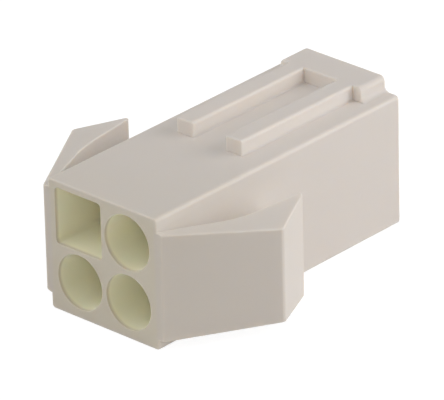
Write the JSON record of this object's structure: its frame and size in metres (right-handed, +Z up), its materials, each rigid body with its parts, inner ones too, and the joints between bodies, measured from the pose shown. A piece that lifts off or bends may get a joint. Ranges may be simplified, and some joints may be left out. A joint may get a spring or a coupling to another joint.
{
  "type": "wire to board connector housing",
  "caption": "Nylon connector housing with a grid of round and keyed square sockets, sprung panel lock ears at the sides and stop ribs on top.",
  "frame": {"origin": "middle of the bounding box, on the underside", "axes": "+Y from the mating face to the wire side, along the sockets; +Z up, away from the underside; +X to the right, seen from the mating face"},
  "size_m": [0.0194, 0.025, 0.011],
  "materials": {
    "natural_nylon": "natural polyamide as moulded, slightly translucent"
  },
  "bodies": {
    "root": {"housing": "natural_nylon"}
  },
  "joints": []
}
